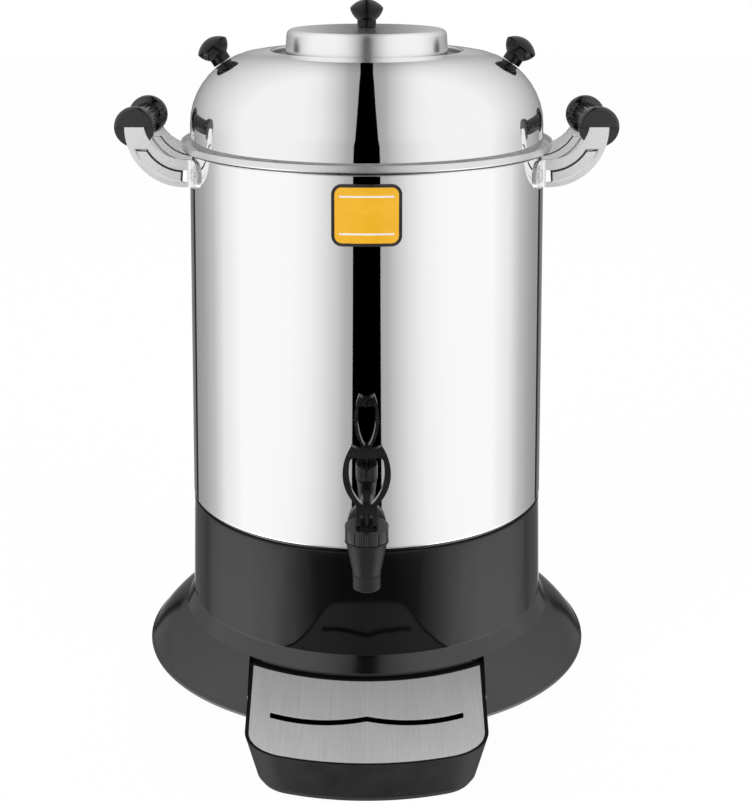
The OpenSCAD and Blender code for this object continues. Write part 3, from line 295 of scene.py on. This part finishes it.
band_low, band_high = 50.2 * MM, 134.3 * MM
skirt_black = finish_of("skirt_black_moulding", (0.0022, 0.0022, 0.0024), (0.0032, 0.0032, 0.0034),
                        0.07, scale=9, bump=0.006, ior=brim_ior, rough_spread=0.02)
tree = skirt_black.node_tree
skirt_shader = tree.nodes["Principled BSDF"].inputs
# The band's draft is taken out of its reflections, which run as on an upright wall
true_normal = add_node(tree, "ShaderNodeNewGeometry").outputs["Normal"]
upright = add_node(tree, "ShaderNodeVectorMath", true_normal, operation="ADD")
upright.inputs[1].default_value = (0, 0, -1.15 * band_draft)
tree.links.new(upright.outputs[0], tree.nodes["Bump"].inputs["Normal"])
skirt_place = add_node(tree, "ShaderNodeTexCoord").outputs["Object"]
height = add_node(tree, "ShaderNodeSeparateXYZ", skirt_place).outputs["Z"]
softer = add_node(tree, "ShaderNodeMapRange", height, in_From_Min=0.047, in_From_Max=0.052,
                  in_To_Min=0.09, in_To_Max=0.0).outputs[0]
even_rough = skirt_shader["Roughness"].links[0].from_socket
tree.links.new(math_of(tree, "ADD", even_rough, softer), skirt_shader["Roughness"])
on_band = math_of(tree, "SUBTRACT", math_of(tree, "GREATER_THAN", height, band_low),
                  math_of(tree, "GREATER_THAN", height, band_high))
gleam = add_node(tree, "ShaderNodeMapRange", on_band, in_To_Min=brim_ior, in_To_Max=band_ior)
tree.links.new(gleam.outputs[0], skirt_shader["IOR"])
skirt = dressed("base_skirt", skirt_black, ease=0.6 * MM, sharp=12, marks=scale_marks)
skirt.data.materials.append(pale_print)


# Underside: a zinc-plated base plate, held by screws in the skirt's posts and by the nuts of the
# three tie rods. Four rubber feet are screwed on, and one is pushed in under the middle.
zinc = finish_of("zinc_plating", (0.42, 0.43, 0.42), (0.58, 0.58, 0.56), 0.38, metal=1.0, scale=60,
                 bump=0.05)
foot_rubber = finish_of("foot_rubber", (0.018, 0.018, 0.018), (0.03, 0.03, 0.03), 0.75, scale=120,
                        bump=0.3)
for node in ("base_plate", "base_plate_screws", "foot_screws", "tie_rods", "tie_rod_nuts"):
    dressed(node, zinc)
dressed("rubber_feet", foot_rubber)


# Heater: a cast aluminium spreader under the tank, with a tubular element half sunk in its groove
# and a limit thermostat in the middle. It is closed in between the tank and the base plate.
def paint_node(node, paint):
    mesh = frame["nodes"][node].data
    mesh.materials.clear()
    mesh.materials.append(paint)


cast_aluminium = finish_of("cast_aluminium", (0.55, 0.55, 0.56), (0.70, 0.70, 0.71), 0.5, metal=1.0,
                           scale=80, bump=0.3)
element_sheath = finish_of("element_sheath", (0.20, 0.19, 0.18), (0.34, 0.33, 0.33), 0.45, metal=1.0,
                           scale=50)
matt_black = finish_of("matt_black_moulding", (0.022, 0.022, 0.023), (0.032, 0.032, 0.033), 0.45,
                       scale=60, bump=0.15)
paint_node("heat_spreader", cast_aluminium)
paint_node("heating_element", element_sheath)
paint_node("limit_thermostat", matt_black)


# Tank: a drawn stainless steel pot with a satin finish, hung in the shell by its flange, which
# lies on the shell's ledge under the dome lid.
def wire_of(bm, corners):
    verts = [bm.verts.new((corner[0] * MM, 0, corner[1] * MM)) for corner in corners]
    for start, end in zip(verts, verts[1:]):
        bm.edges.new((start, end))
    for vert, corner in zip(verts, corners):
        if len(corner) == 3:
            ways = [edge.other_vert(vert).co - vert.co for edge in vert.link_edges]
            reach = corner[2] * MM / math.tan(ways[0].angle(ways[1]) / 2)
            bmesh.ops.bevel(bm, geom=[vert], affect="VERTICES", offset=reach, segments=10,
                            profile=0.5, material=-1)


def turned(corners, wall=0.0, steps=192):
    bm = bmesh.new()
    wire_of(bm, corners)
    bmesh.ops.spin(bm, geom=bm.verts[:] + bm.edges[:], cent=(0, 0, 0), axis=(0, 0, 1),
                   dvec=(0, 0, 0), angle=2 * math.pi, steps=steps, use_merge=True)
    bmesh.ops.remove_doubles(bm, verts=bm.verts, dist=1e-6)
    bmesh.ops.recalc_face_normals(bm, faces=bm.faces)
    if wall:
        bmesh.ops.solidify(bm, geom=bm.faces[:], thickness=wall * MM)
    return bm


sheet = 1.0
satin_steel = finish_of("satin_steel", (0.66, 0.66, 0.67), (0.74, 0.74, 0.75), 0.3, metal=0.5,
                        scale=14, stretch=(1, 1, 40), bump=0.06)
tank_r, tank_floor, flange_r, ledge = 140, 137.8, 154, 435
tank = turned([(0, tank_floor), (tank_r, tank_floor, 8), (tank_r, ledge, 1.5), (flange_r, ledge)])
bmesh.ops.reverse_faces(tank, faces=tank.faces)
bmesh.ops.solidify(tank, geom=tank.faces[:], thickness=-sheet * MM)
bmesh.ops.recalc_face_normals(tank, faces=tank.faces)
stands_for(finished(tank, "tank"), satin_steel, "inner_tank")

# Shell: mirror-polished stainless sheet, rolled to a drum. Its hem is turned in over the skirt's
# spigot, and its top is flared to a ledge with a turned-up rim. The rim is satin, with painted light
# in a paler steel on its inside and painted shade in the hollow under the ledge.
polished = finish_of("polished_steel", (0.872, 0.875, 0.878), (0.884, 0.886, 0.888), 0.025, metal=1.0,
                     scale=7, bump=0.0, rough_spread=0.004)
satin_rim = finish_of("satin_rim", (0.70, 0.703, 0.706), (0.74, 0.743, 0.746), 0.3, metal=0.9,
                      scale=30, bump=0.0, rough_spread=0.02)
# The paler rim steel is painted light, the near-black steel under the ledge is painted shade
rim_inside_painted_light = finish_of("rim_inside_painted_light", (0.84, 0.843, 0.846), (0.87, 0.873, 0.876), 0.3, metal=0.3, scale=30,
                     bump=0.0, rough_spread=0.02)
hollow_painted_shade = finish_of("hollow_painted_shade", (0.05, 0.05, 0.05), (0.07, 0.07, 0.07), 0.3, metal=1.0,
                        scale=30, bump=0.0)
body_r, seam, hem, rim_r, rim_foot, rim_top = 150, 136, 3.5, 157.2, 431.5, 441
shell = turned([(body_r - hem, seam), (body_r, seam, 2), (body_r, ledge - sheet, 2),
                (rim_r, ledge - sheet, 3), (rim_r, rim_top)], wall=sheet, steps=256)
shell.normal_update()
# Faces up on the rim are satin; inward ones get painted light, downward ones painted shade
for face in shell.faces:
    middle, way = face.calc_center_median(), face.normal
    if middle.z > rim_foot * MM:
        faces_in = way.x * middle.x + way.y * middle.y < 0
        face.material_index = 3 if way.z < -0.5 else 2 if faces_in else 1
drum = stands_for(finished(shell, "shell"), polished, "outer_shell")
for paint in (satin_rim, rim_inside_painted_light, hollow_painted_shade):
    drum.data.materials.append(paint)

# Controls at the back of the band: a thermostat with its spindle, nut and dial, an amber pilot
# lamp, and the gland for the cord. The dial is a glossy black moulding with a printed pointer.
gloss_black = finish_of("gloss_black_moulding", (0.004, 0.004, 0.0042), (0.006, 0.006, 0.0062), 0.08,
                        scale=9, bump=0.006, ior=1.7, rough_spread=0.02)
lens = finish_of("amber_lens", (0.6, 0.12, 0.03), (0.75, 0.2, 0.05), 0.12, scale=200)
for node in ("thermostat_spindle", "thermostat_nut"):
    dressed(node, zinc)
dressed("thermostat", matt_black)
dial_depth, pointer_rise = 17, 13
dial_face = band_foot_r - (dial_z - band_foot) * band_draft + dial_depth
pointer_spot = Vector((0, dial_face, dial_z + pointer_rise)) * MM
pointer = Matrix.Translation(pointer_spot) @ Matrix.Diagonal((1.6, 0.1, 9, 1))
dial = dressed("thermostat_knob", gloss_black, sharp=25, marks=[pointer])
dial.data.materials.append(pale_print)
dressed("cord_gland", matt_black)
dressed("pilot_lamp", lens)

# Plate on the front: enamelled sheet, bent to the shell and stuck on. A plain amber field with
# two pale stripes, inside a dark raised rim.
amber_enamel = finish_of("amber_enamel", (0.78, 0.40, 0.01), (0.83, 0.44, 0.015), 0.25, scale=60,
                         bump=0.03)
dark_enamel = finish_of("dark_enamel", (0.018, 0.016, 0.015), (0.03, 0.027, 0.025), 0.3, scale=60,
                        bump=0.03)
plate_w, plate_h, plate_z, plate_sheet, plate_back = 54, 48, 402, 1.2, 0.7
plate_corner, plate_rim, plate_sink, bend_step = 8, 2.4, 0.4, 3
stripe_low, stripe_high, stripe_half = 13.8, 15.2, 21
bm = bmesh.new()
bmesh.ops.create_grid(bm, x_segments=1, y_segments=1, size=0.5 * MM)
plate_size = Matrix.Diagonal((plate_w, plate_h, 1, 1))
bmesh.ops.transform(bm, matrix=Matrix.Rotation(math.pi / 2, 4, "X") @ plate_size, verts=bm.verts)
bmesh.ops.bevel(bm, geom=bm.verts[:], affect="VERTICES", offset=plate_corner * MM, segments=8,
                profile=0.5, material=-1)
rim = bmesh.ops.inset_region(bm, faces=bm.faces[:], thickness=plate_rim * MM, depth=-plate_sink * MM,
                             use_boundary=True, use_even_offset=True)["faces"]
for face in rim:
    face.material_index = 1
stripe_edges = (-stripe_high, -stripe_low, stripe_low, stripe_high)
cuts = [((column * bend_step * MM, 0, 0), (1, 0, 0)) for column in range(-8, 9)]
cuts += [((0, 0, edge * MM), (0, 0, 1)) for edge in stripe_edges]
for spot, way in cuts:
    bmesh.ops.bisect_plane(bm, geom=bm.verts[:] + bm.edges[:] + bm.faces[:], plane_co=spot,
                           plane_no=way)
for face in bm.faces:
    middle = face.calc_center_median() / MM
    in_stripe = stripe_low < abs(middle.z) < stripe_high and abs(middle.x) < stripe_half
    if face.material_index == 0 and in_stripe:
        face.material_index = 2
for vert in bm.verts:
    flat = vert.co / MM
    reach, turn = body_r + plate_sheet - flat.y, flat.x / body_r
    vert.co = Vector((reach * math.sin(turn), -reach * math.cos(turn), plate_z + flat.z)) * MM
bmesh.ops.solidify(bm, geom=bm.faces[:], thickness=plate_back * MM)
plate = stands_for(finished(bm, "plate"), amber_enamel, "front_plate")
plate.data.materials.append(dark_enamel)
plate.data.materials.append(pale_print)

# Tap: a black moulded body whose shank goes through both walls, with a collar and gasket outside
# and a spacer, gasket and lock nut inside. The bonnet screws down on the silicone seat cup, and the
# loop lever is pinned to the stem.
silicone = finish_of("pale_silicone", (0.80, 0.77, 0.71), (0.87, 0.84, 0.79), 0.5, scale=50, bump=0.05)
tap_black = finish_of("tap_black_moulding", (0.019, 0.019, 0.0195), (0.023, 0.023, 0.0235), 0.14,
                      scale=30, bump=0.01, ior=1.19, rough_spread=0.02)
grey_silicone = finish_of("grey_silicone", (0.20, 0.20, 0.20), (0.28, 0.28, 0.28), 0.4, scale=50,
                          bump=0.05)
lever_black = finish_of("lever_black_moulding", (0.013, 0.013, 0.0133), (0.016, 0.016, 0.0163), 0.1,
                        scale=30, bump=0.01, ior=1.7, rough_spread=0.02)
bonnet_black = finish_of("bonnet_black_moulding", (0.009, 0.009, 0.0092), (0.012, 0.012, 0.0122), 0.12,
                         scale=30, bump=0.01, ior=1.42, rough_spread=0.02)
for node in ("tap_body", "tap_collar"):
    dressed(node, tap_black, ease=0.3 * MM)
dressed("tap_bonnet", bonnet_black, ease=0.3 * MM)
dressed("tap_lever", lever_black, ease=0.5 * MM)
dressed("tap_outer_gasket", grey_silicone)
for node in ("tap_inner_gasket", "tap_seat_cup"):
    dressed(node, silicone)
for node in ("tap_spacer", "tap_lock_nut", "tap_lever_pin"):
    dressed(node, zinc)
dressed("tap_stem", matt_black)

# Dome lid: one polished pressing with a rounded corner, a gently sloping crown and a recess round
# the filler opening, whose neck is turned down. The recess's wall and floor are painted darker, as
# painted shade.
recess_painted_shade = finish_of("recess_painted_shade", (0.30, 0.302, 0.305), (0.34, 0.342, 0.345), 0.2, metal=1.0,
                         scale=30, bump=0.0)
dome_r, dome_foot, dome_top, dome_corner_r = 149.5, 436.2, 509.42, 60
recess_r, recess_top, recess_floor, fill_r, neck = 80, 516.73, 509.9, 61, 8
dome = turned([(dome_r, dome_foot), (dome_r, dome_top, dome_corner_r), (recess_r, recess_top, 3),
               (recess_r, recess_floor, 2), (fill_r, recess_floor, 2), (fill_r, recess_floor - neck)],
              wall=sheet, steps=256)
# Faces of the recess's wall and floor take the darker steel, which is painted shade
painted_shade_r, painted_shade_top = 80.8, 515
for face in dome.faces:
    middle = face.calc_center_median() / MM
    if math.hypot(middle.x, middle.y) < painted_shade_r and middle.z < painted_shade_top:
        face.material_index = 1
stands_for(finished(dome, "dome"), polished, "dome_lid").data.materials.append(recess_painted_shade)

# Filler lid: a shallow stainless pressing with a satin finish and a slightly crowned top. It sits
# loose in the dome's recess on its narrow flange.
satin_lid = finish_of("satin_lid", (0.88, 0.883, 0.886), (0.90, 0.902, 0.905), 0.23, metal=1.0,
                      scale=30, bump=0.01, rough_spread=0.02)
filler_foot = recess_floor + 0.2
filler_edge, filler_top = filler_foot + 24, filler_foot + 25.6
filler_flange_r, filler_wall_r, filler_edge_r = 73, 69, 67.5
filler = turned([(filler_flange_r, filler_foot + sheet), (filler_wall_r, filler_foot + sheet, 1.5),
                 (filler_edge_r, filler_edge, 5), (0, filler_top)], wall=sheet, steps=256)
stands_for(finished(filler, "filler"), satin_lid, "filler_lid")

# Knobs: three alike black mouldings with a short neck and a lens-shaped head. Each is held by a
# screw from under the sheet, two square to the dome's rounded corner and one on the filler lid.
knob_profile = [(0, 0), (8, 0, 0.6), (8, 6), (12.9, 9.1, 14.5), (14, 15.5), (14, 16.1),
                (8.96, 23.3, 16.5), (0, 23.3)]
knob_black = finish_of("knob_black_moulding", (0.003, 0.003, 0.0032), (0.005, 0.005, 0.0052), 0.07,
                       scale=30, bump=0.006, ior=1.36, rough_spread=0.02)
corner_centre = Vector((89.5, 0, 455.4)) * MM
lean = math.radians(33)
on_dome = (Matrix.Translation(corner_centre) @ Matrix.Rotation(lean, 4, "Y")
           @ Matrix.Translation((0, 0, dome_corner_r * MM)))
for node, seat in (("dome_knob_right", on_dome),
                   ("dome_knob_left", Matrix.Rotation(math.pi, 4, "Z") @ on_dome),
                   ("filler_knob", Matrix.Translation((0, 0, filler_top * MM)))):
    knob = turned(knob_profile, steps=64)
    knob.transform(seat)
    stands_for(finished(knob, node + "_look"), knob_black, node)
for node in ("dome_knob_screws", "filler_knob_screw"):
    dressed(node, zinc)

# Handle arms: pressed from 2 mm polished sheet. A rib follows the outer edge from an open slot at
# the root, and the foot is bent to lie on the shell, where two rivets hold it. The rib's walls and
# the sides of the slot carry painted shade.
arm_front, arm_sheet, arm_ease = 46, 2, 0.3
arm_centre = Vector((body_r, -arm_front, 455.5))
edge_r, rib_out_r, rib_in_r, root_r = 49.5, 45.3, 35.3, 26.5
inner_rise, inner_r = 7.8, 34.3
rib_end_z, grip_z = 438, 456
row_step, slot_half, foot_step = 2.5, 2, 0.0105
rib_wall, rib_depth, rib_black_shade_width, slot_shade = 1.6, 1.2, 1.4, 0.7
foot_corner, square_columns, column_w, round_end = 1.5, 5, 1.6, 11.5


def inner_reach(turn):
    fall = math.radians(turn - 90)
    return inner_rise * math.sin(fall) + math.sqrt(inner_r ** 2 - (inner_rise * math.cos(fall)) ** 2)


def slanted(vert):
    # Moves a spun vertex along its arc, so that the row at the rib's end lies level
    out = vert.co / MM - arm_centre
    reach = math.hypot(out.x, out.z)
    turn = math.degrees(math.atan2(out.x, -out.z))
    on_inner_edge = abs(reach - root_r) < 0.01
    if on_inner_edge:
        reach = inner_reach(turn)
    row_of_end = 25 * row_step
    level_turn = 90 - math.degrees(math.asin((arm_centre.z - rib_end_z) / reach))
    if turn <= row_of_end:
        turn *= level_turn / row_of_end
    else:
        turn = level_turn + (turn - row_of_end) * (90 - level_turn) / (90 - row_of_end)
    if on_inner_edge:
        reach = inner_reach(turn)
    angle = math.radians(turn)
    vert.co = (arm_centre + Vector((reach * math.sin(angle), 0, -reach * math.cos(angle)))) * MM


def pressed_arm():
    bm = bmesh.new()
    root = [bm.verts.new((arm_centre + Vector((0, 0, -reach))) * MM)
            for reach in (edge_r, rib_out_r, rib_in_r, root_r)]
    for low, high in zip(root, root[1:]):
        bm.edges.new((low, high))
    root_edges = bm.edges[:]
    bmesh.ops.spin(bm, geom=root + root_edges, cent=arm_centre * MM, axis=(0, -1, 0),
                   dvec=(0, 0, 0), angle=math.radians(90), steps=36)
    for vert in bm.verts:
        slanted(vert)
    tip = [v for v in bm.verts if v.co.z > (arm_centre.z - 0.1) * MM]
    bmesh.ops.translate(bm, verts=tip, vec=(0, 0, (grip_z - arm_centre.z) * MM))
    foot_r = body_r + arm_sheet
    bend = math.asin(arm_front / foot_r)
    corner_x = foot_r * math.cos(bend)
    path = [(body_r - slot_half, -arm_front), (corner_x + 1.6, -arm_front),
            (corner_x + 0.5, -arm_front - 0.5), (corner_x - 0.55, -arm_front - 1.6)]
    path += [(foot_r * math.cos(bend + step * foot_step), -foot_r * math.sin(bend + step * foot_step))
             for step in range(4, 13)]
    row = root_edges
    root_upwards = sorted(root, key=lambda vert: vert.co.z)
    foot_middle = (arm_centre.z - (edge_r + root_r) / 2) * MM
    for column, (x, y) in enumerate(path):
        past_square = max(0.0, (column - square_columns) * column_w / round_end)
        taper = math.sqrt(1 - past_square ** 2)
        made = bmesh.ops.extrude_edge_only(bm, edges=row)["geom"]
        row = [item for item in made if isinstance(item, bmesh.types.BMEdge)
               and all(vert in made for vert in item.verts)]
        row_verts = sorted({vert for edge in row for vert in edge.verts}, key=lambda vert: vert.co.z)
        for vert, first in zip(row_verts, root_upwards):
            vert.co = (x * MM, y * MM, foot_middle + (first.co.z - foot_middle) * taper)
    foot_corners = [v for edge in row for v in edge.verts if len(v.link_edges) == 2]
    bmesh.ops.bevel(bm, geom=list(set(foot_corners)), affect="VERTICES", offset=foot_corner * MM,
                    segments=6, profile=0.5, material=-1)
    bmesh.ops.recalc_face_normals(bm, faces=bm.faces)
    if sum(face.normal.y for face in bm.faces) > 0:
        bmesh.ops.reverse_faces(bm, faces=bm.faces)

    def in_rib(face):
        out = face.calc_center_median() / MM - arm_centre
        return rib_in_r < math.hypot(out.x, out.z) < rib_out_r and out.y > -0.01

    slot = [f for f in bm.faces
            if in_rib(f) and abs(f.calc_center_median().x / MM - body_r) < slot_half]
    bmesh.ops.delete(bm, geom=slot, context="FACES")
    rib = [f for f in bm.faces if in_rib(f) and f.calc_center_median().x / MM > body_r
           and f.calc_center_median().z / MM < rib_end_z]
    rib_walls = bmesh.ops.inset_region(bm, faces=rib, thickness=rib_wall * MM, depth=rib_depth * MM,
                                       use_boundary=True, use_even_offset=True)["faces"]
    # The rib's walls are painted shade: near black by the inner edge, dark grey steel elsewhere
    for face in rib_walls:
        out = face.calc_center_median() / MM - arm_centre
        face.material_index = 1 if math.hypot(out.x, out.z) < rib_in_r + rib_black_shade_width else 2
    bmesh.ops.solidify(bm, geom=bm.faces[:], thickness=arm_sheet * MM)
    # Faces beside the slot take the near-black painted shade
    for face in bm.faces:
        out = face.calc_center_median() / MM - arm_centre
        beside_slot = -slot_half < out.x < slot_half + slot_shade
        if beside_slot and rib_in_r < math.hypot(out.x, out.z) < rib_out_r:
            face.material_index = 1
    bmesh.ops.recalc_face_normals(bm, faces=bm.faces)
    edges = [e for e in bm.edges if e.is_manifold and e.calc_face_angle(0) > math.radians(30)]
    bmesh.ops.bevel(bm, geom=edges, affect="EDGES", offset=arm_ease * MM, segments=2, profile=0.5,
                    material=-1, clamp_overlap=True)
    return bm


arm_steel = finish_of("arm_steel", (0.88, 0.883, 0.886), (0.91, 0.912, 0.915), 0.28, metal=0.7,
                      scale=20, bump=0.0, rough_spread=0.03)
# A dark grey copy of the arm steel, painted shade on the rib's walls
rib_wall_painted_shade = finish_of("rib_wall_painted_shade", (0.34, 0.342, 0.345), (0.37, 0.372, 0.375), 0.28, metal=0.9,
                      scale=20, bump=0.0, rough_spread=0.03)
# Near black, painted shade in the arms' creases and slots and under the grips' steps
painted_crease_shade = finish_of("painted_crease_shade", (0.01, 0.01, 0.01), (0.02, 0.02, 0.02), 0.4, scale=60, bump=0.0)
for side_name, side_sign in (("left", -1), ("right", 1)):
    for end_name, end_sign in (("front", 1), ("rear", -1)):
        node = f"handle_arm_{side_name}_{end_name}"
        arm = pressed_arm()
        arm.transform(Matrix.Diagonal((side_sign, end_sign, 1, 1)))
        bmesh.ops.recalc_face_normals(arm, faces=arm.faces)
        arm_look = stands_for(finished(arm, node + "_look", 40), arm_steel, node)
        arm_look.data.materials.append(painted_crease_shade)
        arm_look.data.materials.append(rib_wall_painted_shade)
dressed("handle_rivets", arm_steel)

# Grips: black moulded spools with a fluted waist. The lower half of each end disc is set back, so
# that the arm's end lies flush with the upper half. A thin near-black strip under each step is
# painted shadow.
grip_x, disc_back = 191.5, 44
shadow_strip_size, shadow_strip_z = Matrix.Diagonal((32.6, 0.2, 1.0, 1)), grip_z - 0.6
for node, grip_sign in (("handle_grip_left", -1), ("handle_grip_right", 1)):
    spots = [Vector((grip_sign * grip_x, end * disc_back, shadow_strip_z)) * MM for end in (-1, 1)]
    shadow_strips = [Matrix.Translation(spot) @ shadow_strip_size for spot in spots]
    grip = dressed(node, gloss_black, ease=0.4 * MM, marks=shadow_strips)
    grip.data.materials.append(painted_crease_shade)

# Drip tray: a black moulded drawer with a fine matt grain, which stands on the table and slides in
# the skirt's bay. The top of its rim, round the cover, is painted darker, as painted shade.
tray_black = finish_of("tray_black_moulding", (0.022, 0.022, 0.023), (0.032, 0.032, 0.033), 0.45,
                       scale=60, bump=0.15, ior=1.16)
rim_painted_shade = finish_of("tray_rim_painted_shade", (0.003, 0.003, 0.003), (0.005, 0.005, 0.005), 0.5, scale=60,
                      bump=0.0, ior=1.2)
tray = dressed("drip_tray", tray_black)
tray.data.materials.append(rim_painted_shade)
tray_rim = 4 * MM
tray_top = max(vert.co.z for vert in tray.data.vertices)
# Upward faces in the rim's top 4 mm take the painted shade
for face in tray.data.polygons:
    if face.normal.z > 0.5 and face.center.z > tray_top - tray_rim:
        face.material_index = 1

# Cover plate: a brushed stainless sheet that lies loose in the tray's rim, with one wavy slot for
# the drips. The brushing runs from front to back.
brushed = finish_of("brushed_steel", (0.62, 0.62, 0.63), (0.70, 0.70, 0.71), 0.5, metal=0.5, scale=14,
                    stretch=(60, 1, 1), bump=0.05, grain_scale=3, rough_spread=0.03)
dressed("tray_cover", brushed, ease=0.4 * MM)
